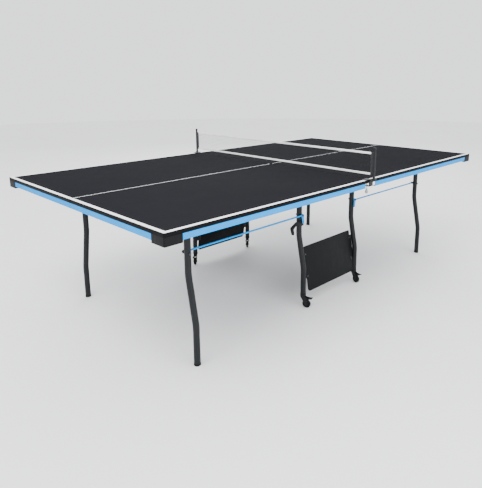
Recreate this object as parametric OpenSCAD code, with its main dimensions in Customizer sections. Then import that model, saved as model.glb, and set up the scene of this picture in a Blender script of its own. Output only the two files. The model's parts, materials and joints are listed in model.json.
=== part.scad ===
// Folding table-tennis table on a wheeled carriage, shown in its playing position.
// Frame: origin on the floor under the middle of the net, +Z up, X along the length, Y across the width.
// Half A is on the -X side, half B on the +X side; "near" is -Y and "far" is +Y. All sizes in mm.

/* [View] */
// Which sub-part to build; "all" builds every one

/* [Table] */
// Overall length of the playing surface
table_length = 2740; // [2000:5:2740]
// Overall width of the playing surface
table_width = 1525; // [1200:5:1525]
// Height of the playing surface above the floor
table_height = 760; // [660:5:760]
// Thickness of the boards
board_t = 18; // [12:1:25]
// Distance of each half's net edge from the net line
net_gap = 3.2; // [3.2:0.1:6]
// Gap between the two boards of a half
seam = 1; // [0.5:0.5:3]

/* [Edge trim] */
// Height of the edge rail below the boards
apron_h = 27; // [20:1:45]
// Sheet thickness of the edge rail
apron_t = 1.5; // [1:0.1:3]
// Width of the edge rail's inward flanges
apron_flange = 16; // [10:1:25]
// Distance from the net line to the end of the long edge rails
apron_net_end = 48; // [24:1:80]
// Height of the corner caps below the boards
cap_h = 37; // [28:1:50]
// Length of each arm of the corner caps
cap_l = 86; // [60:1:120]

/* [Leg frames] */
// Outside diameter of the leg tubes
tube_d = 32; // [25:1:38]
// Wall thickness of the leg tubes
tube_t = 1.5; // [1:0.1:3]
// Height of the wheeled frames' cross tubes above the floor, to the axis
pivot_z = 720; // [700:1:722]
// How much lower the outer frames' cross tubes are
outer_drop = 14; // [0:1:20]
// Distance of the wheeled frames from the net line
wheel_x = 260; // [240:5:320]
// Half width of the wheeled frames at the top
wheel_y = 466; // [420:1:470]
// Distance of the outer frames from the net line
outer_x = 1066; // [1000:1:1100]
// Half width of the outer frames at the top
outer_y = 490; // [486:1:530]
// How far the lower part of each wheeled leg steps outward
wheel_step = 38; // [20:1:50]
// How far the lower part of each outer leg steps outward
outer_step = 46; // [20:1:50]
// Angle of the step from the vertical
step_angle = 11; // [8:1:15]
// Height at which the step begins
step_z = 450; // [430:5:470]
// Radius of the bends at the top of the frames
corner_r = 75; // [60:5:90]
// Height of the link rods above the floor at the wheeled frames, to the axis
link_z = 552; // [545:1:600]
// Diameter of the link rods
link_d = 9.5; // [7:0.5:9.5]

/* [Carriage] */
// Radius of the caster wheels
caster_r = 25; // [22:0.5:27]
// Width of the caster wheels
caster_w = 16; // [14:1:18]
// Distance of the wheel's axle from the swivel axis
caster_trail = 22; // [14:1:24]
// Swivel of the near caster of frame A at rest, in degrees about the upright
yaw_an = -71; // [-180:1:180]
// Swivel of the near caster of frame B at rest, in degrees about the upright
yaw_bn = -98; // [-180:1:180]
// Swivel of the far casters at rest, in degrees about the upright
yaw_far = -136; // [-180:1:180]
// How far the side panels lean outward towards the floor
panel_lean = 43; // [0:1:50]
// Height of the lower edge of the side panels
panel_z0 = 88; // [84:1:110]
// Height of the upper edge of the side panels
panel_z1 = 354; // [300:1:365]

/* [Net] */
// Height of the net's top edge above the playing surface
net_h = 152.5; // [140:0.5:160]
// Height of the net's lower edge above the playing surface
net_low = 25; // [10:1:40]
// Height of the net's upper and lower tapes
tape_h = 12; // [8:1:16]
// Half length of the net between its end sleeves
net_y = 757; // [740:1:757]
// Diameter of the net posts
post_d = 14; // [10:1:16]
// Height of the net posts above the playing surface
post_h = 178; // [160:1:200]

/* [Hidden] */
X1 = table_length/2;
Y1 = table_width/2;
zt = table_height;
zu = zt - board_t;            // underside of the boards
tr = tube_d/2;
pin_r = 4;
run = 0.06;                   // radial running clearance
bend_r = 180;                 // centre-line radius of the two bends of the step
bz = bend_r*sin(step_angle);
by = bend_r*(1 - cos(step_angle));
outer_pz = pivot_z - outer_drop;
link_z1 = link_z - outer_drop;   // keeps the rod parallel to the line between the two cross tubes
link_y = wheel_y + tr + 8;    // the link rods' eyes on the wheeled legs, outside the tubes
link_y1 = outer_y - tr - 8;   // the link rods' eyes on the outer legs, inside the tubes
leg_end_w = 84;               // lower end of the wheeled frames' tubes
latch_x = 250;
latch_z = 512;
panel_set = 7;                // how far outside the legs' upper part the panels' upper edge stands
sock_r = (tr - tube_t)*cos(9) - run;   // fits inside the 20-sided bore
C_BLACK = [0.13, 0.15, 0.17];
C_TOP   = [0.11, 0.12, 0.15];
C_BLUE  = [0.10, 0.47, 0.74];
C_STEEL = [0.62, 0.63, 0.65];
C_RUB   = [0.06, 0.06, 0.07];
C_WHITE = [0.92, 0.92, 0.90];

// ---------- helpers ----------
module half_b() mirror([1,0,0]) children();
module far() mirror([0,1,0]) children();
// A bent tube is one closed sweep. Each station is [y, z, ty, tz]: a point of the centre line and its direction.
function arc_st(cy, cz, r, a0, a1, n) = [for (i=[1:n]) let(a=a0+(a1-a0)*i/n, s=sign(a1-a0)) [cy+r*cos(a), cz+r*sin(a), -s*sin(a), s*cos(a)]];
function slope_l(st) = (st - 2*by)/sin(step_angle);
function slope_z(st) = slope_l(st)*cos(step_angle);
function leg_st(yt, z_end, st, pz) = concat(
  [[-(yt-corner_r), pz, -1, 0]],
  arc_st(-(yt-corner_r), pz-corner_r, corner_r, 90, 180, 6),
  [[-yt, step_z, 0, -1]],
  arc_st(-yt-bend_r, step_z, bend_r, 0, -step_angle, 2),
  [[-yt-by-slope_l(st)*sin(step_angle), step_z-bz-slope_z(st), -sin(step_angle), -cos(step_angle)]],
  arc_st(-yt-st+bend_r, step_z-2*bz-slope_z(st), bend_r, 180-step_angle, 180, 2),
  [[-yt-st, z_end, 0, -1]]);
function turned(st) = [for (i=[len(st)-1:-1:0]) [-st[i][0], st[i][1], st[i][2], -st[i][3]]];
function u_st(yt, z_end, st, pz) = concat(turned(leg_st(yt, z_end, st, pz)), leg_st(yt, z_end, st, pz));
module sweep_tube(st, ro, ri, n) {
  m = len(st);
  pts = concat([for (q=st) for (j=[0:n-1]) let(f=360*j/n) [ro*cos(f), q[0]-q[3]*ro*sin(f), q[1]+q[2]*ro*sin(f)]],
               [for (q=st) for (j=[0:n-1]) let(f=360*j/n) [ri*cos(f), q[0]-q[3]*ri*sin(f), q[1]+q[2]*ri*sin(f)]]);
  o = m*n;
  tris = concat(
    [for (i=[0:m-2]) for (j=[0:n-1]) let(k=(j+1)%n) each [[i*n+j, i*n+k, (i+1)*n+k], [i*n+j, (i+1)*n+k, (i+1)*n+j]]],
    [for (i=[0:m-2]) for (j=[0:n-1]) let(k=(j+1)%n) each [[o+i*n+j, o+(i+1)*n+k, o+i*n+k], [o+i*n+j, o+(i+1)*n+j, o+(i+1)*n+k]]],
    [for (j=[0:n-1]) let(k=(j+1)%n) each [[j, o+j, o+k], [j, o+k, k]]],
    [for (j=[0:n-1]) let(k=(j+1)%n, e=(m-1)*n) each [[e+j, o+e+k, o+e+j], [e+j, e+k, o+e+k]]]);
  polyhedron(points=pts, faces=tris);
}
module u_frame(yt, z_end, st, pz) sweep_tube(u_st(yt, z_end, st, pz), tr, tr-tube_t, 20);
module yrod(r, y0, y1, f=24) translate([0,y0,0]) rotate([-90,0,0]) cylinder(r=r, h=y1-y0, $fn=f);
module both() { children(); far() children(); }

// ---------- a half of the table ----------
module board() color(C_TOP)
  translate([0,0,zu]) linear_extrude(height=board_t) difference() {
    hull() {
      translate([-X1+8, -Y1+8]) circle(r=8, $fn=32);
      translate([-net_gap-1, -Y1]) square([1,1]);
      translate([-net_gap-1, -seam/2-1]) square([1,1]);
      translate([-X1, -seam/2-1]) square([1,1]);
    }
  }
module channel(l) rotate([90,0,90]) linear_extrude(height=l) union() {
    square([apron_t, apron_h]);
    square([apron_flange, apron_t]);
    translate([0, apron_h-apron_t]) square([apron_flange, apron_t]);
  }
module long_rail() translate([-X1+cap_l-2, -Y1+1.5, zu-apron_h]) channel(X1-cap_l+2-apron_net_end);
module end_rail() translate([-X1+1.5, -seam, zu-apron_h]) rotate([0,0,-90]) channel(Y1-cap_l+2-seam);
module long_rails() color(C_BLUE) both() long_rail();
module end_rails() color(C_BLUE) both() end_rail();
module cap() difference() {
    translate([0,0,zu-cap_h]) linear_extrude(height=cap_h) difference() {
      union() {
        hull() { translate([-X1+8,-Y1+8]) circle(r=8, $fn=32); translate([-X1+cap_l-3,-Y1]) square([1,22]); translate([-X1+10,-Y1+21]) square([1,1]); }
        hull() { translate([-X1+8,-Y1+8]) circle(r=8, $fn=32); translate([-X1,-Y1+cap_l-3]) square([22,1]); translate([-X1+21,-Y1+10]) square([1,1]); }
      }
    }
    translate([0,0,zu-cap_h+3]) linear_extrude(height=cap_h) {
      hull() { translate([-X1+9,-Y1+9]) circle(r=6, $fn=32); translate([-X1+cap_l-6,-Y1+3]) square([1,16]); }
      hull() { translate([-X1+9,-Y1+9]) circle(r=6, $fn=32); translate([-X1+3,-Y1+cap_l-6]) square([16,1]); }
    }
  }
module corner_caps() color(C_BLACK) both() cap();
// bracket that holds a cross tube under the boards and turns on it
module saddle(w, h) difference() {
    union() {
      translate([-34,-w/2,h-3]) cube([68,w,3]);
      translate([0,-w/2,0]) rotate([-90,0,0]) cylinder(r=tr+3.5, h=w, $fn=32);
      translate([-tr-3.5,-w/2,0]) cube([2*tr+7,w,h-1]);
    }
    translate([0,-w/2-1,0]) rotate([-90,0,0]) cylinder(r=tr+run, h=w+2, $fn=32);
    translate([-60,-w,h]) cube([120,2*w,20]);
    for (s=[-1,1]) translate([s*27,0,h-4]) cylinder(r=2.6, h=6, $fn=16);
  }
module saddle_screws(h) for (s=[-1,1]) translate([s*27,0,h-5.6]) cylinder(r=5, h=2.6, $fn=16);
module pivot_saddles() color(C_BLACK) for (y=[-330,330]) translate([-wheel_x,y,pivot_z]) { saddle(40, zu-pivot_z); saddle_screws(zu-pivot_z); }
module leg_saddles() color(C_BLACK) for (y=[-360,40,360]) translate([-outer_x,y,outer_pz]) { saddle(30, zu-outer_pz); saddle_screws(zu-outer_pz); }
module seam_plates() color(C_STEEL) for (x=[-1240,-880,-540,-120]) translate([x,0,zu-3]) difference() {
    translate([-20,-38,0]) cube([40,76,3]);
    for (y=[-26,26]) translate([0,y,-1]) cylinder(r=2.5, h=5, $fn=16);
  }
// storage strap, lying flat under half A, and the loops it hooks on
module strap() color(C_RUB) translate([-X1+236,-735,zu-4.4]) cube([28,500,2.2]);
module strap_loop() translate([0,0,zu-6.5]) difference() {
    translate([-20,-15,0]) cube([40,30,6.5]);
    translate([-16,-16,1.6]) cube([32,32,3.4]);
  }
module a_strap_loops() color(C_STEEL) for (y=[-(Y1-48),-290,Y1-48]) translate([-X1+250,y,0]) strap_loop();
module b_strap_loops() color(C_STEEL) for (y=[-(Y1-48),Y1-48]) translate([-X1+250,y,0]) strap_loop();

// ---------- wheeled carriage ----------
// inner face of the leaning side panels at a height
function panel_in(z) = wheel_y + panel_set + panel_lean*(panel_z1-z)/(panel_z1-panel_z0);
lean_deg = atan(panel_lean/(panel_z1-panel_z0));
// centre line of a wheeled leg's sloping part, and of the straight parts above and below it
function leg_y(z) = min(wheel_y+wheel_step, max(wheel_y, wheel_y+by+(step_z-bz-z)*tan(step_angle)));
// where a plate 3 mm inside the panel's plane meets a wheeled leg's tube at a height, with a little clearance
function tab_x(z) = let(d = max(0, leg_y(z)-panel_in(z), panel_in(z)-3-leg_y(z))) -wheel_x + sqrt(max(0, pow(tr+0.8,2)-d*d));
module wheel_frame() color(C_BLACK) translate([-wheel_x,0,0]) {
    difference() { u_frame(wheel_y, leg_end_w, wheel_step, pivot_z);
      for (s=[-1,1]) translate([0,s*wheel_y,link_z]) yrod(pin_r+0.1, -30, 30); }
  }
// everything in the panel's own plane: Z runs up along it, and Y=0 is its inner face, with -Y outwards
module in_panel() translate([0,-panel_in(panel_z0),panel_z0]) rotate([-lean_deg,0,0]) children();
panel_l = (panel_z1-panel_z0)/cos(lean_deg);
panel_w = 228;                // half width of the side panels
tab_l = [for (i=[0:5]) 80+31*i];
module tabs() both() in_panel() translate([0,3,0]) rotate([90,0,0]) linear_extrude(height=3)
    polygon(concat([for (l=tab_l) [tab_x(panel_z0+l*cos(lean_deg)), l]], [[-panel_w+16,235],[-panel_w+16,80]]));
module side_panel() color(C_BLACK) in_panel() rotate([90,0,0]) linear_extrude(height=2.5) hull() {
    for (x=[-panel_w+8,panel_w-8]) translate([x,panel_l-8]) circle(r=8, $fn=24);
    for (x=[-panel_w+20,panel_w-20]) translate([x,20]) circle(r=20, $fn=32);
  }
module hexnut(y0, y1, r=6.5) translate([0,y0,0]) rotate([-90,0,0]) cylinder(r=r, h=y1-y0, $fn=6);
module wheel_pin() translate([-wheel_x,0,link_z]) {
    hexnut(-(wheel_y-tr), -(wheel_y-tr-5));
    yrod(pin_r, -(link_y+9), -(wheel_y-tr-0.5), 24);
    yrod(7, -(link_y-4.5), -(wheel_y+tr), 24);
    hexnut(-(link_y+5.9), -(link_y+4.4));
  }
module latch_pin() translate([-latch_x,0,latch_z]) {
    yrod(3.5, -(wheel_y+tr+4.6), -(wheel_y+14.8), 24);
    yrod(6, -(wheel_y+tr+5.4), -(wheel_y+tr+3.8), 24);
  }
module tab_screws() in_panel() for (l=[92,222]) translate([-panel_w+8,0,l]) yrod(4.5, -5, -2.5, 16);
module socket(x,y) translate([x,y,0]) difference() {
    union() { translate([0,0,leg_end_w-5]) cylinder(r=tr+1.2, h=5, $fn=24); translate([0,0,leg_end_w]) cylinder(r=sock_r, h=34, $fn=24); }
    translate([0,0,leg_end_w-6]) cylinder(r=6+run, h=60, $fn=24);
  }
module carriage_bolts() color(C_STEEL) {
    wheel_pin(); far() wheel_pin(); half_b() { wheel_pin(); far() wheel_pin(); }
    latch_pin(); half_b() far() latch_pin();
    both() { tab_screws(); half_b() tab_screws(); }
    for (s=[-1,1], t=[-1,1]) socket(s*wheel_x, t*(wheel_y+wheel_step));
  }
module lock_plate() difference() {
    translate([-258,-(wheel_y+tr+0.6),latch_z-24]) cube([18,4.4,40]);
    translate([-wheel_x,-wheel_y,latch_z-40]) cylinder(r=tr+0.05, h=80, $fn=48);
    translate([-latch_x,0,latch_z]) yrod(3.6, -600, -400);
  }
module lock_plates() color(C_BLACK) { lock_plate(); half_b() far() lock_plate();
    tabs(); half_b() tabs(); }
module latch() color(C_RUB) translate([-latch_x,-(wheel_y+tr+0.8),latch_z]) difference() {
    union() {
      rotate([90,0,0]) linear_extrude(height=2.8) union() {
        circle(r=9, $fn=24);
        hull() { circle(r=7, $fn=24); translate([-60,2]) circle(r=7.5, $fn=24); }
        hull() { translate([-60,2]) circle(r=7.5, $fn=24); translate([-98,-20]) circle(r=9, $fn=24); }
      }
      rotate([90,0,0]) linear_extrude(height=11) union() {
        hull() { translate([-66,-1]) circle(r=6.5, $fn=24); translate([-98,-20]) circle(r=9, $fn=24); }
        hull() { translate([-98,-20]) circle(r=9, $fn=24); translate([-90,-52]) circle(r=7, $fn=24); }
      }
    }
    yrod(3.5+run, -60, 60);
  }

// ---------- outer legs and links ----------
module outer_frame() color(C_BLACK) difference() {
    translate([-outer_x,0,0]) u_frame(outer_y, 12, outer_step, outer_pz);
    for (s=[-1,1]) translate([-outer_x,s*outer_y,link_z1]) yrod(pin_r+0.1, -30, 30);
  }
module foot() translate([-outer_x,-(outer_y+outer_step),0]) {
    rotate_extrude($fn=32) polygon([[0,0],[tr-0.6,0],[tr+0.6,1.5],[tr+0.6,12],[sock_r-0.15,12],[sock_r-0.15,40],[0,40]]);
  }
module outer_feet() color(C_RUB) both() foot();
module outer_pin() translate([-outer_x,0,link_z1]) {
    hexnut(-(outer_y+tr+6), -(outer_y+tr));
    yrod(pin_r, -(outer_y+tr+0.5), -(link_y1-9), 24);
    yrod(7, -(outer_y-tr), -(link_y1+4), 24);
    hexnut(-(link_y1-4.1), -(link_y1-9.6), 8.5);
  }
module outer_pins() color(C_STEEL) both() outer_pin();
// both ends are flat eyes in their own planes, joined by a slightly slanting rod; the eye on the outer leg
// is the loop's open pivot, and a lug hangs from the other
link_in = link_y - link_y1;
link_span = outer_x - wheel_x;
link_l = norm([link_span, link_in, outer_drop]);
module link() color(C_BLUE) translate([-wheel_x,-link_y,link_z]) difference() {
    union() {
      yrod(8.5, -4, 4, 32);
      translate([-link_span,link_in,-outer_drop]) yrod(8, -3.5, 3.5, 32);
      translate([-link_span,link_in,-outer_drop]*3/link_l) rotate([0,0,-atan(link_in/link_span)])
        rotate([0,-acos(-outer_drop/link_l),0]) cylinder(r=link_d/2, h=link_l-6, $fn=24);
      rotate([90,0,0]) translate([0,0,0.6]) linear_extrude(height=3.4) hull() {
        circle(r=8, $fn=24); translate([5,-40]) circle(r=7.5, $fn=24); }
    }
    yrod(pin_r+run, -20, 20, 32);
    translate([-link_span,link_in,-outer_drop]) yrod(pin_r+0.3, -20, 20, 32);
    for (s=[-1,1]) translate([-12, s>0 ? 4 : -14, -14]) cube([30,10,28]);
    for (s=[-1,1]) translate([-link_span-20, link_in + (s>0 ? 3.5 : -13.5), -outer_drop-14]) cube([34,10,28]);
    translate([5,0,-40]) yrod(3, -20, 20, 24);
  }

// ---------- casters, built about their own swivel axis ----------
module caster_at(sx, sy) translate([sx*wheel_x, sy*(wheel_y+wheel_step), 0]) rotate([0,0,sy>0?yaw_far:sx<0?yaw_an:yaw_bn]) children();
ped_x = caster_trail+6;
ped_z = 56;
module cheek(y) translate([0,y,0]) rotate([90,0,0]) linear_extrude(height=2.5) union() {
    hull() { translate([-13,68]) square([26,2]); translate([caster_trail,caster_r]) circle(r=9, $fn=24); }
    hull() { translate([caster_trail,caster_r+8]) circle(r=6, $fn=24); translate([ped_x,ped_z]) circle(r=6, $fn=24); translate([0,66]) square([8,3]); }
  }
module fork() color(C_BLACK) {
    difference() {
      union() {
        translate([0,0,70]) cylinder(r=16.5, h=8, $fn=32);
        translate([0,0,77]) cylinder(r=6, h=leg_end_w+30-77, $fn=24);
        cheek(-caster_w/2-1.5); cheek(caster_w/2+4);
        translate([0,caster_w/2+2,0]) rotate([90,0,0]) linear_extrude(height=caster_w+4) polygon([[-13,70.5],[-9,70.5],[2.5,50],[-1.3,50]]);
        translate([caster_trail,0,caster_r]) yrod(4, -(caster_w/2+6), caster_w/2+6, 24);
        for (s=[-1,1]) translate([ped_x,0,ped_z]) yrod(3, s>0 ? caster_w/2+2 : -(caster_w/2+7.2), s>0 ? caster_w/2+7.2 : -(caster_w/2+2), 24);
      }
    }
  }
module wheel() color(C_RUB) translate([caster_trail,0,caster_r]) rotate([90,0,0])
    rotate_extrude($fn=48) polygon([[4+run,-caster_w/2],[9,-caster_w/2],[10,-caster_w/2+2],[20,-caster_w/2+2],[21,-caster_w/2],[caster_r-3,-caster_w/2],[caster_r,-caster_w/2+4],
      [caster_r,caster_w/2-4],[caster_r-3,caster_w/2],[21,caster_w/2],[20,caster_w/2-2],[10,caster_w/2-2],[9,caster_w/2],[4+run,caster_w/2]]);
module brake() color(C_RUB) translate([ped_x,0,ped_z]) {
    for (s=[-1,1]) difference() {
      translate([0, s>0 ? caster_w/2+6.8 : -(caster_w/2+4.3), 0]) rotate([90,0,0]) linear_extrude(height=2.5) hull() {
        circle(r=6, $fn=24); translate([7.5,-3]) square([5,8]); }
      yrod(3+run, -40, 40);
    }
    rotate([90,0,0]) translate([0,0,-(caster_w/2+6.8)]) linear_extrude(height=caster_w+13.6)
      polygon([[7.5,2],[12.5,5],[29,7.4],[29.5,5.4],[13,2],[7.5,-1]]);
  }

// ---------- net ----------
clamp_x1 = -net_gap-0.3;
screw_x = -12.2;
screw_y = Y1-17;
module net_clamp() color(C_BLACK) difference() {
    union() {
      translate([-46,-(Y1+4.3),zt]) cube([clamp_x1+46,33,3]);
      translate([-20,-(Y1+4.3),zu-20]) cube([36,4,board_t+23]);
      translate([-20,-(Y1+4.3),zu-20]) cube([clamp_x1+20,32,4]);
      translate([-24,-(Y1+28),zt-6]) cube([40,25,6]);
    }
    translate([screw_x,-screw_y,zu-21]) cylinder(r=4+run, h=6, $fn=24);
  }
module clamp_screw() color(C_STEEL) translate([screw_x,-screw_y,0]) {
    translate([0,0,zu-36]) cylinder(r=4, h=35, $fn=24);
    translate([0,0,zu-3.4]) cylinder(r=8, h=3, $fn=24);
    translate([0,0,zu-63]) rotate_extrude($fn=24) polygon([[0,0],[5,0.8],[8,4],[9,9],[8,15],[5.5,22],[4.5,28],[0,28]]);
  }
post_y = Y1+18.5;
module net_posts() color(C_STEEL) both() translate([0,-post_y,0]) {
    translate([0,0,zt+0.4]) cylinder(r=post_d/2, h=post_h-4.4, $fn=24);
    translate([0,0,zt+post_h-5]) cylinder(r=post_d/2+1, h=5, $fn=24);
    translate([0,0,zt+0.4]) cylinder(r=post_d/2+3, h=6, $fn=24);
  }
module net_mesh() color([0.2,0.2,0.22]) translate([-0.6,-net_y,zt+net_low+tape_h]) cube([1.2, 2*net_y, net_h-net_low-2*tape_h]);
module net_top_tape() color(C_WHITE) translate([-1.5,-net_y,zt+net_h-tape_h]) cube([3,2*net_y,tape_h]);
module net_bottom_tape() color(C_WHITE) translate([-1.5,-net_y,zt+net_low]) cube([3,2*net_y,tape_h]);
module net_sleeves() color(C_RUB) both() translate([-2,-(post_y-post_d/2-0.2),zt+net_low]) cube([4, post_y-post_d/2-0.2-net_y, net_h-net_low]);

board();  // a_board_near
far() board();  // a_board_far
half_b() board();  // b_board_near
half_b() far() board();  // b_board_far
long_rails();  // a_long_rails
half_b() long_rails();  // b_long_rails
end_rails();  // a_end_rails
half_b() end_rails();  // b_end_rails
corner_caps();  // a_corner_caps
half_b() corner_caps();  // b_corner_caps
pivot_saddles();  // a_pivot_saddles
half_b() pivot_saddles();  // b_pivot_saddles
leg_saddles();  // a_leg_saddles
half_b() leg_saddles();  // b_leg_saddles
seam_plates();  // a_seam_plates
half_b() seam_plates();  // b_seam_plates
strap();  // a_strap
a_strap_loops();  // a_strap_hooks
half_b() b_strap_loops();  // b_strap_hooks
wheel_frame();  // wheel_frame_a
half_b() wheel_frame();  // wheel_frame_b
side_panel();  // side_panel_near
far() side_panel();  // side_panel_far
carriage_bolts();
lock_plates();
outer_frame();  // outer_frame_a
half_b() outer_frame();  // outer_frame_b
outer_feet();  // outer_feet_a
half_b() outer_feet();  // outer_feet_b
outer_pins();  // outer_pins_a
half_b() outer_pins();  // outer_pins_b
link();  // link_a_near
far() link();  // link_a_far
half_b() link();  // link_b_near
half_b() far() link();  // link_b_far
latch();  // latch_a
half_b() far() latch();  // latch_b
caster_at(-1,-1) fork();  // caster_an_fork
caster_at(-1,-1) wheel();  // caster_an_wheel
caster_at(-1,-1) brake();  // caster_an_brake
caster_at(-1,1) fork();  // caster_af_fork
caster_at(-1,1) wheel();  // caster_af_wheel
caster_at(-1,1) brake();  // caster_af_brake
caster_at(1,-1) fork();  // caster_bn_fork
caster_at(1,-1) wheel();  // caster_bn_wheel
caster_at(1,-1) brake();  // caster_bn_brake
caster_at(1,1) fork();  // caster_bf_fork
caster_at(1,1) wheel();  // caster_bf_wheel
caster_at(1,1) brake();  // caster_bf_brake
net_clamp();  // net_clamp_near
far() net_clamp();  // net_clamp_far
clamp_screw();  // clamp_screw_near
far() clamp_screw();  // clamp_screw_far
net_posts();
net_mesh();
net_top_tape();
net_bottom_tape();
net_sleeves();
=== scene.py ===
import json
import math

import bmesh
import bpy
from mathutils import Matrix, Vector

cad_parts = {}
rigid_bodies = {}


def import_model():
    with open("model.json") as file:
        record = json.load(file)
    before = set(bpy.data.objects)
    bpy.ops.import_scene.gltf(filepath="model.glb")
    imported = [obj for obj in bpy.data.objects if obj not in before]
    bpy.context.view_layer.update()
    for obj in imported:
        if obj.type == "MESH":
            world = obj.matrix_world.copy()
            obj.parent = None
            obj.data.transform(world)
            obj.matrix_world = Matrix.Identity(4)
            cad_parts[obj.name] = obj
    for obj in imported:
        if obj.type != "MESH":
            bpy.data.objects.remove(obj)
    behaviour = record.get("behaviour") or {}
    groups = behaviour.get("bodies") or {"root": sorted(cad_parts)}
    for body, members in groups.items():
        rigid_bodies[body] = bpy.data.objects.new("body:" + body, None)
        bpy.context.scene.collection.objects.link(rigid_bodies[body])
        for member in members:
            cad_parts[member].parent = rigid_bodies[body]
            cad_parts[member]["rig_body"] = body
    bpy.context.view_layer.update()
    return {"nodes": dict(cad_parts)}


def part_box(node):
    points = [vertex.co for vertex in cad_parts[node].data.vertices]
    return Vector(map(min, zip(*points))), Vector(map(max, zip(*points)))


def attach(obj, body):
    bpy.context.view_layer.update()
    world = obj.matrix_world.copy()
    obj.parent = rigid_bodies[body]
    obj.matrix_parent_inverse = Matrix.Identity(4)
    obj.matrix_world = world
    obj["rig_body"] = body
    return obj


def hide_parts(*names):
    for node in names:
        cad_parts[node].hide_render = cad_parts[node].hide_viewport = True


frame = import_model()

COL = bpy.context.scene.collection

# ---------------------------------------------------------------- shader helpers

def node(nt, kind, **settings):
    n = nt.nodes.new(kind)
    for key, value in settings.items():
        setattr(n, key, value)
    return n


def feed(nt, socket, value):
    """Links an output to a socket, or sets a number or a colour on it."""
    if hasattr(value, "node"):
        nt.links.new(value, socket)
    elif isinstance(value, (int, float)):
        socket.default_value = value
    else:
        socket.default_value = (*value, 1)


def noise(nt, coord, scale, detail=2.0, rough=0.5, stretch=None):
    if stretch:
        mapping = node(nt, "ShaderNodeMapping")
        mapping.inputs["Scale"].default_value = stretch
        nt.links.new(coord, mapping.inputs["Vector"])
        coord = mapping.outputs["Vector"]
    n = node(nt, "ShaderNodeTexNoise")
    n.inputs["Scale"].default_value = scale
    n.inputs["Detail"].default_value = detail
    n.inputs["Roughness"].default_value = rough
    nt.links.new(coord, n.inputs["Vector"])
    return n.outputs["Fac"]


def ramp(nt, fac, low, high):
    """Two-stop colour ramp; each stop is (position, colour)."""
    r = node(nt, "ShaderNodeValToRGB")
    for element, (position, color) in zip(r.color_ramp.elements, (low, high)):
        element.position = position
        element.color = (*color, 1)
    nt.links.new(fac, r.inputs["Fac"])
    return r.outputs["Color"]


def math_out(nt, operation, *values):
    m = node(nt, "ShaderNodeMath", operation=operation)
    for socket, value in zip(m.inputs, values):
        feed(nt, socket, value)
    return m.outputs[0]


def mix_color(nt, fac, a, b):
    m = node(nt, "ShaderNodeMix", data_type="RGBA", blend_type="MIX")
    for socket, value in ((m.inputs[0], fac), (m.inputs[6], a), (m.inputs[7], b)):
        feed(nt, socket, value)
    return m.outputs[2]


def map_range(nt, fac, to_min, to_max, from_min=0.0, from_max=1.0):
    m = node(nt, "ShaderNodeMapRange")
    m.inputs["From Min"].default_value = from_min
    m.inputs["From Max"].default_value = from_max
    m.inputs["To Min"].default_value = to_min
    m.inputs["To Max"].default_value = to_max
    nt.links.new(fac, m.inputs["Value"])
    return m.outputs["Result"]


def bump(nt, height, strength, distance):
    b = node(nt, "ShaderNodeBump")
    b.inputs["Strength"].default_value = strength
    b.inputs["Distance"].default_value = distance
    nt.links.new(height, b.inputs["Height"])
    return b.outputs["Normal"]


def new_material(name):
    m = bpy.data.materials.new(name)
    m.use_nodes = True
    nt = m.node_tree
    nt.nodes.clear()
    out = node(nt, "ShaderNodeOutputMaterial")
    shader = node(nt, "ShaderNodeBsdfPrincipled")
    nt.links.new(shader.outputs[0], out.inputs[0])
    return m, nt, shader, node(nt, "ShaderNodeTexCoord").outputs["Object"]


def shade(color, k):
    return tuple(min(1, c * k) for c in color)


BLACK, WHITE = (0, 0, 0), (1, 1, 1)

# ---------------------------------------------------------------- materials

def coated(name, color, rough, spec, var, grain, dust, dusty,
           depth=0.00005, cloud=6, strength=0.25):
    """Paint, powder coat or moulded plastic: orange peel, slow colour drift, worn and dusty patches."""
    m, nt, p, co = new_material(name)
    slow = noise(nt, co, cloud, 3, 0.6)
    fine = noise(nt, co, grain, 2, 0.55)
    scuff = noise(nt, co, 55, 6, 0.75, stretch=(1, 1, 0.25))
    base = ramp(nt, slow, (0.3, shade(color, 1 - var)), (0.7, shade(color, 1 + var)))
    marks = math_out(nt, "MULTIPLY", ramp(nt, scuff, (0.60, BLACK), (0.78, WHITE)), dusty)
    nt.links.new(mix_color(nt, marks, base, dust), p.inputs["Base Color"])
    nt.links.new(map_range(nt, scuff, rough - 0.06, rough + 0.09, 0.3, 0.7), p.inputs["Roughness"])
    nt.links.new(bump(nt, fine, strength, depth), p.inputs["Normal"])
    p.inputs["Specular IOR Level"].default_value = spec
    return m


def woven(name, color, second=None, pitch=0.0012, plane="yz", rough=0.85, sheen=0.25):
    """Plain weave: crossed threads from two waves in the cloth's plane, with slubs."""
    m, nt, p, co = new_material(name)
    axes = node(nt, "ShaderNodeSeparateXYZ")
    nt.links.new(co, axes.inputs[0])
    across, along = (
        math_out(nt, "SINE", math_out(nt, "MULTIPLY", axes.outputs["xyz".index(k)], math.pi / pitch))
        for k in plane)
    weave = math_out(nt, "MULTIPLY", across, along)
    relief = math_out(nt, "MULTIPLY_ADD", noise(nt, co, 900), 0.6, weave)
    slow = noise(nt, co, 12, 3, 0.6)
    base = ramp(nt, slow, (0.3, shade(color, 0.82)), (0.7, shade(color, 1.1)))
    tone = mix_color(nt, map_range(nt, weave, 0.0, 0.35, -1, 1), base, second or shade(color, 0.5))
    nt.links.new(tone, p.inputs["Base Color"])
    nt.links.new(bump(nt, relief, 0.6, 0.0002), p.inputs["Normal"])
    p.inputs["Roughness"].default_value = rough
    p.inputs["Specular IOR Level"].default_value = 0.25
    p.inputs["Sheen Weight"].default_value = sheen
    return m


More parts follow.
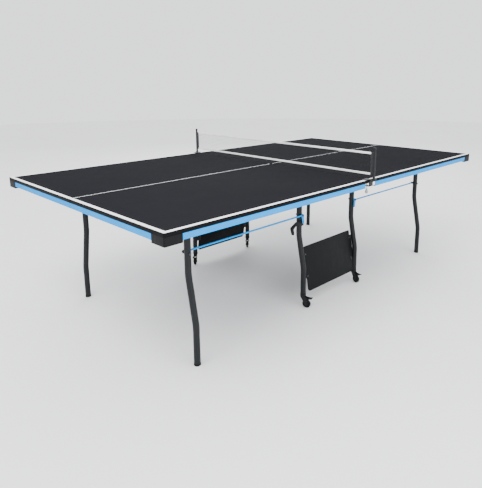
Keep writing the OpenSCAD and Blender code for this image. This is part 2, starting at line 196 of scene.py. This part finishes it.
def table_top():
    """Matte dark table paint with a very fine stipple, faint rub marks and soft ball smudges."""
    m, nt, p, co = new_material("top_paint")
    slow = noise(nt, co, 1.6, 4, 0.6)
    cloud = noise(nt, co, 9, 5, 0.65)
    fine = noise(nt, co, 1300, 2, 0.6)
    rub = noise(nt, co, 34, 7, 0.8, stretch=(1, 0.22, 1))
    base = ramp(nt, slow, (0.3, (0.0104, 0.0105, 0.0128)), (0.7, (0.0122, 0.0123, 0.0148)))
    smudges = map_range(nt, cloud, 0.0, 0.30, 0.45, 0.75)
    base = mix_color(nt, smudges, base, (0.0130, 0.0131, 0.0156))
    marks = math_out(nt, "MULTIPLY", ramp(nt, rub, (0.62, BLACK), (0.80, WHITE)), 0.018)
    nt.links.new(mix_color(nt, marks, base, (0.10, 0.105, 0.115)), p.inputs["Base Color"])
    nt.links.new(map_range(nt, cloud, 0.80, 0.86, 0.3, 0.7), p.inputs["Roughness"])
    nt.links.new(bump(nt, fine, 0.30, 0.00006), p.inputs["Normal"])
    p.inputs["Specular IOR Level"].default_value = 0.012
    return m


def plated(name, color, rough):
    """Zinc plate: streaks in the roughness and the slow spangle of the plating."""
    m, nt, p, co = new_material(name)
    streak = noise(nt, co, 260, 4, 0.7, stretch=(1, 1, 0.08))
    spangle = noise(nt, co, 70, 3, 0.6)
    tone = ramp(nt, spangle, (0.3, shade(color, 0.82)), (0.7, shade(color, 1.08)))
    nt.links.new(tone, p.inputs["Base Color"])
    nt.links.new(map_range(nt, streak, rough - 0.08, rough + 0.14, 0.3, 0.7), p.inputs["Roughness"])
    nt.links.new(bump(nt, streak, 0.15, 0.00004), p.inputs["Normal"])
    p.inputs["Metallic"].default_value = 1.0
    return m


DUST = (0.12, 0.12, 0.12)        # what settles on the black parts
DARK_DUST = (0.10, 0.10, 0.10)
M = {
    "top": table_top(),
    "line": coated("line_paint", (0.94, 0.945, 0.95), 0.6, 0.3, 0.03, 1300,
                   (0.55, 0.55, 0.53), 0.12, depth=0.00006),
    "edge": coated("edge_band", (0.0032, 0.0035, 0.0044), 0.58, 0.06, 0.2, 700, DARK_DUST, 0.15),
    "under": coated("underside_board", (0.085, 0.083, 0.079), 0.75, 0.25, 0.10, 900,
                    (0.26, 0.26, 0.25), 0.25, depth=0.0001, cloud=14),
    "blue": coated("blue_powder_coat", (0.0001, 0.255, 0.660), 0.50, 0.06, 0.06, 520,
                   (0.01, 0.26, 0.56), 0.10),
    "black": coated("black_powder_coat", (0.0052, 0.0062, 0.0075), 0.42, 0.22, 0.14, 520,
                    DUST, 0.12, depth=0.00006, strength=0.35),
    "plastic": coated("moulded_black_plastic", (0.0036, 0.0039, 0.0044), 0.52, 0.12, 0.10, 1500,
                      DUST, 0.12, depth=0.00008, strength=0.4),
    "rubber": coated("black_rubber", (0.0065, 0.0065, 0.0070), 0.72, 0.15, 0.15, 800,
                     (0.16, 0.15, 0.14), 0.35, depth=0.00008),
    "knob": coated("grey_plastic_knob", (0.28, 0.29, 0.30), 0.45, 0.5, 0.05, 900,
                   (0.5, 0.5, 0.5), 0.1),
    "post": coated("black_post_paint", (0.012, 0.013, 0.015), 0.55, 0.2, 0.06, 600,
                   (0.4, 0.4, 0.4), 0.1),
    "panel": coated("panel_powder_coat", (0.0036, 0.0044, 0.0050), 0.52, 0.10, 0.10, 520,
                    DARK_DUST, 0.10, depth=0.00006, strength=0.35),
    "zinc": plated("zinc_plate", (0.62, 0.63, 0.64), 0.34),
    "dark_zinc": plated("black_zinc_plate", (0.075, 0.078, 0.085), 0.40),
    "webbing": woven("black_webbing", (0.020, 0.020, 0.022), pitch=0.0016, plane="xy", rough=0.8),
    "tape": woven("white_tape", (0.91, 0.91, 0.905), second=(0.82, 0.82, 0.81), rough=0.9),
    "sleeve": woven("black_sleeve", (0.018, 0.018, 0.020)),
    "thread": woven("net_thread", (0.0045, 0.0045, 0.0052), pitch=0.0008, rough=0.9, sheen=0.0),
}

# ---------------------------------------------------------------- mesh helpers
SHARP = math.radians(32)         # CAD edges sharper than this are eased
FLAT = math.radians(0.6)         # CAD faces closer than this are merged
RIM = math.radians(60)           # board edges sharper than this are eased


def obj_from_bm(name, bm, mats, body=None, smooth_deg=35):
    bm.normal_update()
    me = bpy.data.meshes.new(name)
    bm.to_mesh(me)
    bm.free()
    for m in mats if isinstance(mats, (list, tuple)) else [mats]:
        me.materials.append(m)
    o = bpy.data.objects.new(name, me)
    COL.objects.link(o)
    if smooth_deg:
        for f in me.polygons:
            f.use_smooth = True
        me.set_sharp_from_angle(angle=math.radians(smooth_deg))
    if body:
        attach(o, body)
    return o


def fix_normals(bm):
    bmesh.ops.recalc_face_normals(bm, faces=bm.faces)


def edges_over(bm, angle):
    return [e for e in bm.edges if len(e.link_faces) == 2 and e.calc_face_angle(0) > angle]


def bridge(bm, a, b):
    """Quads between two rings of the same number of vertices."""
    for j in range(len(a)):
        k = (j + 1) % len(a)
        bm.faces.new((a[j], a[k], b[k], b[j]))


def turn(n):
    """The n angles of a full turn."""
    return [2 * math.pi * k / n for k in range(n)]


def rounded(n, mats, width, seg=2, pick=None):
    """A CAD node's own shape with its sharp edges eased, standing in for the node."""
    bm = bmesh.new()
    bm.from_mesh(frame["nodes"][n].data)
    bmesh.ops.remove_doubles(bm, verts=bm.verts, dist=1e-6)
    bmesh.ops.dissolve_limit(bm, angle_limit=FLAT, verts=bm.verts, edges=bm.edges, delimit={"NORMAL"})
    bm.normal_update()
    bmesh.ops.bevel(bm, geom=edges_over(bm, SHARP), offset=width, offset_type="OFFSET",
                    segments=seg, profile=0.6, affect="EDGES", clamp_overlap=True)
    if pick:
        for f in bm.faces:
            f.material_index = pick(f.calc_center_median())
    o = obj_from_bm(n + "_look", bm, mats, frame["nodes"][n]["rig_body"])
    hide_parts(n)
    return o


# ---------------------------------------------------------------- sizes, from the CAD nodes' boxes
def corners(n):
    """A CAD node's lowest and highest corners, to a hundredth of a millimetre."""
    return [[round(c, 5) for c in corner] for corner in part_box(n)]


(GAP, SEAM, ZU), (X1, Y1, ZT) = corners("b_board_far")
SIDES = {"a": -1, "b": 1}

# ---------------------------------------------------------------- boards
CORNER_R = 0.008                 # round corner of the boards
LINE_W = 0.020                   # white line round the edge
CENTRE_HALF = 0.0026             # half of the white centre line, measured from the middle
NET_MARGIN = 0.012               # where the centre line stops short of the net
COLUMNS = 14                     # extra columns that keep the long faces well shaped


def board(n, sx, sy, body):
    """One board: painted top with its white lines, black edge band, grey underside, eased rims."""
    bm = bmesh.new()
    xs = {GAP, NET_MARGIN, X1 - LINE_W, X1 - CORNER_R, X1}
    xs |= {NET_MARGIN + (X1 - LINE_W - NET_MARGIN) * k / COLUMNS for k in range(1, COLUMNS)}
    xs = sorted(xs)
    ys = [SEAM, CENTRE_HALF, Y1 - LINE_W, Y1 - CORNER_R, Y1]
    verts = {}

    def v(x, y):
        key = (round(x, 6), round(y, 6))
        if key not in verts:
            verts[key] = bm.verts.new((sx * x, sy * y, ZT))
        return verts[key]

    for x0, x1 in zip(xs, xs[1:]):
        for y0, y1 in zip(ys, ys[1:]):
            if x1 == X1 and y1 == Y1:
                cx, cy = X1 - CORNER_R, Y1 - CORNER_R
                arc = [v(cx + CORNER_R * math.cos(a), cy + CORNER_R * math.sin(a))
                       for a in (math.pi / 2 * k / 8 for k in range(9))]
                f = bm.faces.new([v(x0, y0)] + arc)
            else:
                f = bm.faces.new([v(x0, y0), v(x1, y0), v(x1, y1), v(x0, y1)])
            mx, my = (x0 + x1) / 2, (y0 + y1) / 2
            edge_line = mx > X1 - LINE_W or my > Y1 - LINE_W
            centre_line = my < CENTRE_HALF and mx > NET_MARGIN
            f.material_index = 1 if edge_line or centre_line else 0
    fix_normals(bm)
    if bm.faces[:][0].normal.z < 0:
        bmesh.ops.reverse_faces(bm, faces=bm.faces)
    lower = bmesh.ops.extrude_face_region(bm, geom=list(bm.faces))
    for g in lower["geom"]:
        if isinstance(g, bmesh.types.BMVert):
            g.co.z = ZU
    fix_normals(bm)
    bm.normal_update()
    for f in bm.faces:
        if f.normal.z < -0.9:
            f.material_index = 3
        elif f.normal.z < 0.9:
            f.material_index = 2
    # the seam between two boards stays sharp, so that the centre line runs on across it
    rim = [e for e in edges_over(bm, RIM) if min(abs(q.co.y) for q in e.verts) > 2 * SEAM]
    bmesh.ops.bevel(bm, geom=rim, offset=0.0007, segments=2, profile=0.6, affect="EDGES", material=2)
    o = obj_from_bm(n + "_look", bm, [M["top"], M["line"], M["edge"], M["under"]], body)
    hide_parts(n)


for h, sx in SIDES.items():
    for side, sy in (("near", -1), ("far", 1)):
        board(f"{h}_board_{side}", sx, sy, "half_" + h)

# ---------------------------------------------------------------- bent leg frames
BEND_TOP = 0.075                 # centre-line radius at the top corners
BEND_STEP = 0.180                # and at the two bends of the step
STEP_ANGLE = math.radians(11)
STEP_Z = 0.450                   # height at which the step begins
WHEEL_STEP, OUTER_STEP = 0.038, 0.046   # how far the lower legs step outward
TUBE_SIDES = 40


def leg_stations(yt, z_end, step, z_top):
    """Centre line of the near leg from the cross tube down, as (y, z, direction y, direction z)."""
    by = BEND_STEP * (1 - math.cos(STEP_ANGLE))
    bz = BEND_STEP * math.sin(STEP_ANGLE)
    slope = (step - 2 * by) / math.sin(STEP_ANGLE)
    z_slope = STEP_Z - bz - slope * math.cos(STEP_ANGLE)
    out = [(-(yt - BEND_TOP), z_top, -1, 0)]

    def arc(cy, cz, r, a0, a1, n):
        s = 1 if a1 > a0 else -1
        for a in (a0 + (a1 - a0) * i / n for i in range(1, n + 1)):
            out.append((cy + r * math.cos(a), cz + r * math.sin(a), -s * math.sin(a), s * math.cos(a)))

    arc(-(yt - BEND_TOP), z_top - BEND_TOP, BEND_TOP, math.pi / 2, math.pi, 20)
    out.append((-yt, STEP_Z, 0, -1))
    arc(-yt - BEND_STEP, STEP_Z, BEND_STEP, 0, -STEP_ANGLE, 7)
    out.append((-yt - by - slope * math.sin(STEP_ANGLE), z_slope,
                -math.sin(STEP_ANGLE), -math.cos(STEP_ANGLE)))
    arc(-yt - step + BEND_STEP, z_slope - bz, BEND_STEP, math.pi - STEP_ANGLE, math.pi, 7)
    out.append((-yt - step, z_end, 0, -1))
    return out


def leg_frame(n, step, body):
    """A smooth round tube along the frame's centre line; its ends and width come from the CAD node."""
    (x_low, _, z_end), (x_high, y_high, z_high) = corners(n)
    r = (x_high - x_low) / 2
    x = (x_high + x_low) / 2
    near = leg_stations(y_high - r - step, z_end, step, z_high - r)
    far = [(-y, z, ty, -tz) for y, z, ty, tz in near[::-1]]
    bm = bmesh.new()
    rings = []
    for y, z, ty, tz in far + near:
        across = Vector((0, -tz, ty))
        rings.append([bm.verts.new(Vector((x + r * math.cos(a), y, z)) + across * (r * math.sin(a)))
                      for a in turn(TUBE_SIDES)])
    for a, b in zip(rings, rings[1:]):
        bridge(bm, a, b)
    bm.faces.new(rings[0][::-1])
    bm.faces.new(rings[-1])
    fix_normals(bm)
    o = obj_from_bm(n + "_look", bm, M["black"], body)
    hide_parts(n)


for h in SIDES:
    leg_frame("wheel_frame_" + h, WHEEL_STEP, "carriage")
    leg_frame("outer_frame_" + h, OUTER_STEP, "outer_leg_" + h)

# ---------------------------------------------------------------- CAD shapes with eased edges
WHEEL_X = corners("wheel_frame_b")[1][0] - 0.016   # axis of the wheeled frame's legs
LINK_TIP_X = corners("link_b_near")[1][0] - 0.018   # the rod's black eye starts here
KNOB_TOP = corners("clamp_screw_near")[0][2] + 0.0315
SOCKET_R, SOCKET_TOP = 0.020, 0.125                 # the plastic caster sockets lie within these


def link_look(c):
    return 1 if abs(c.x) > LINK_TIP_X else 0


def screw_look(c):
    return 1 if c.z < KNOB_TOP else 0


def bolt_look(c):
    return 1 if c.z < SOCKET_TOP and abs(abs(c.x) - WHEEL_X) < SOCKET_R else 0


for h in SIDES:
    for part in ("long_rails", "end_rails"):
        rounded(f"{h}_{part}", M["blue"], 0.0005)
    rounded(f"{h}_corner_caps", M["plastic"], 0.0022, 4)
    rounded(f"{h}_pivot_saddles", M["black"], 0.0005)
    rounded(f"{h}_leg_saddles", M["black"], 0.0005)
    rounded(f"{h}_seam_plates", M["zinc"], 0.0004)
    rounded(f"{h}_strap_hooks", M["zinc"], 0.0004)
    rounded(f"outer_feet_{h}", M["rubber"], 0.0016, 3)
    rounded(f"outer_pins_{h}", M["dark_zinc"], 0.0005)
    rounded(f"latch_{h}", M["plastic"], 0.0009, 3)
    for side in ("near", "far"):
        rounded(f"link_{h}_{side}", [M["blue"], M["plastic"]], 0.0006, pick=link_look)
for side in ("near", "far"):
    rounded(f"side_panel_{side}", M["panel"], 0.0006)
    rounded(f"net_clamp_{side}", M["black"], 0.0008, 3)
    rounded(f"clamp_screw_{side}", [M["zinc"], M["knob"]], 0.0004, pick=screw_look)
rounded("carriage_bolts", [M["dark_zinc"], M["plastic"]], 0.0005, pick=bolt_look)
rounded("lock_plates", M["black"], 0.0005)
for n in ("an", "af", "bn", "bf"):
    rounded(f"caster_{n}_fork", M["black"], 0.0005)
    rounded(f"caster_{n}_wheel", M["rubber"], 0.0008, 3)
    rounded(f"caster_{n}_brake", M["plastic"], 0.0008, 3)
rounded("net_posts", M["post"], 0.0008, 3)
rounded("net_sleeves", M["sleeve"], 0.0015, 3)
strap = rounded("a_strap", M["webbing"], 0.0004)

# ---------------------------------------------------------------- net
# half of a tape's cross-section: (distance from its edge, half thickness), with a stitched row at 2.7 mm
TAPE_EDGE = [(0.0002, 0.0006), (0.0010, 0.0012), (0.0022, 0.0013), (0.0027, 0.00095), (0.0032, 0.0013)]
TAPE_MIDDLE = 0.00145
TAPE_STEPS = 240
THREAD_D = 0.0007
MESH_PITCH = 0.010
THREAD_GAP = 0.0005       # the threads stop this far short of the tapes, twice that at the net's ends


def tape(n):
    """A folded woven tape: soft rounded fold, two stitched rows, slight waviness."""
    (_, y0, z0), (_, y1, z1) = corners(n)
    side = [(z0 + d, w) for d, w in TAPE_EDGE] + [((z0 + z1) / 2, TAPE_MIDDLE)]
    side += [(z1 - d, w) for d, w in TAPE_EDGE[::-1]]
    profile = [(-w, z) for z, w in side] + [(w, z) for z, w in side[::-1]]
    bm = bmesh.new()
    rings = []
    for y in (y0 + (y1 - y0) * i / TAPE_STEPS for i in range(TAPE_STEPS + 1)):
        sway = 0.0001 * math.sin(y * 41) + 0.00012 * math.sin(y * 17 + 1)
        stitch = 1 + 0.05 * math.sin(y * 900)
        rings.append([bm.verts.new((x * stitch + sway, y, z)) for x, z in profile])
    for a, b in zip(rings, rings[1:]):
        bridge(bm, a, b)
    bm.faces.new(rings[0])
    bm.faces.new(rings[-1][::-1])
    fix_normals(bm)
    o = obj_from_bm(n + "_look", bm, M["tape"], "net", 60)
    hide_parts(n)
    return o


def netting(y0, y1, z0, z1):
    """Square netting of real threads, the uprights on one face and the level ones on the other."""
    bm = bmesh.new()

    def thread(p, q):
        across = (q - p).normalized().cross(Vector((1, 0, 0))).normalized()
        rings = []
        for c in (p, q):
            rings.append([bm.verts.new(c + Vector((THREAD_D / 2 * math.cos(t), 0, 0))
                                       + across * (THREAD_D / 2 * math.sin(t))) for t in turn(6)])
        bridge(bm, *rings)
        bm.faces.new(rings[0][::-1])
        bm.faces.new(rings[1])

    off = 0.00012
    ny, nz = int((y1 - y0) / MESH_PITCH), int((z1 - z0) / MESH_PITCH)
    for y in (y0 + (y1 - y0) * i / ny for i in range(ny + 1)):
        thread(Vector((off, y, z0)), Vector((off, y, z1)))
    for z in (z0 + (z1 - z0) * i / nz for i in range(nz + 1)):
        thread(Vector((-off, y0, z)), Vector((-off, y1, z)))
    fix_normals(bm)
    o = obj_from_bm("net_mesh_look", bm, M["thread"], "net", 60)
    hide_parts("net_mesh")
    return o


top_tape = tape("net_top_tape")
low_tape = tape("net_bottom_tape")
(_, net_y0, net_z0), (_, net_y1, net_z1) = corners("net_mesh")
NET_SPAN = (net_y0 + 2 * THREAD_GAP, net_y1 - 2 * THREAD_GAP,
            net_z0 + THREAD_GAP, net_z1 - THREAD_GAP)
net = netting(*NET_SPAN)

# ---------------------------------------------------------------- floor
FLOOR_R, FLOOR_SIDES, FLOOR_Z = 14.0, 96, -0.0002
floor_bm = bmesh.new()
floor_bm.faces.new([floor_bm.verts.new((FLOOR_R * math.cos(a), FLOOR_R * math.sin(a), FLOOR_Z))
                    for a in turn(FLOOR_SIDES)])
floor_mat, nt, shader, coord = new_material("floor_paint")
drift = noise(nt, coord, 0.8, 3, 0.5)
nt.links.new(ramp(nt, drift, (0.3, (0.90, 0.90, 0.90)), (0.7, (0.93, 0.93, 0.93))),
             shader.inputs["Base Color"])
shader.inputs["Roughness"].default_value = 0.9
shader.inputs["Specular IOR Level"].default_value = 0.1
obj_from_bm("floor", floor_bm, floor_mat, smooth_deg=None)

# ---------------------------------------------------------------- light
world = bpy.data.worlds.new("studio")
bpy.context.scene.world = world
world.use_nodes = True
sky = world.node_tree.nodes["Background"]
sky.inputs["Color"].default_value = (0.96, 0.975, 1.0, 1)
sky.inputs["Strength"].default_value = 1.8


def aim(o, direction):
    o.rotation_mode = "QUATERNION"
    o.rotation_quaternion = direction.to_track_quat("-Z", "Y")


def area_light(name, location, target, size, power):
    light = bpy.data.lights.new(name, "AREA")
    light.shape, light.energy = "RECTANGLE", power
    light.size, light.size_y = size
    o = bpy.data.objects.new(name, light)
    COL.objects.link(o)
    o.location = location
    aim(o, Vector(target) - Vector(location))


area_light("key", (-3.2, -1.2, 4.2), (0, 0, 0.5), (3.0, 2.5), 200)
area_light("front_fill", (-1.0, -5.0, 2.2), (0, 0, 0.4), (4.0, 2.0), 160)
area_light("rim", (3.5, 4.0, 3.5), (0, 0, 0.6), (3.0, 2.0), 120)

# ---------------------------------------------------------------- camera
CAM_AT = (-2.330, -2.198, 1.298)
CAM_YAW, CAM_PITCH = math.radians(46.08), math.radians(-12.15)   # from +Y towards +X, and downwards
cam = bpy.data.cameras.new("camera")
cam.sensor_width, cam.lens = 36, 36.1992
cam.shift_x, cam.shift_y = -0.051434, -0.118852
cam.clip_start, cam.clip_end = 0.05, 60
cam_obj = bpy.data.objects.new("camera", cam)
COL.objects.link(cam_obj)
cam_obj.location = CAM_AT
aim(cam_obj, Vector((math.sin(CAM_YAW) * math.cos(CAM_PITCH),
                     math.cos(CAM_YAW) * math.cos(CAM_PITCH), math.sin(CAM_PITCH))))
bpy.context.scene.camera = cam_obj
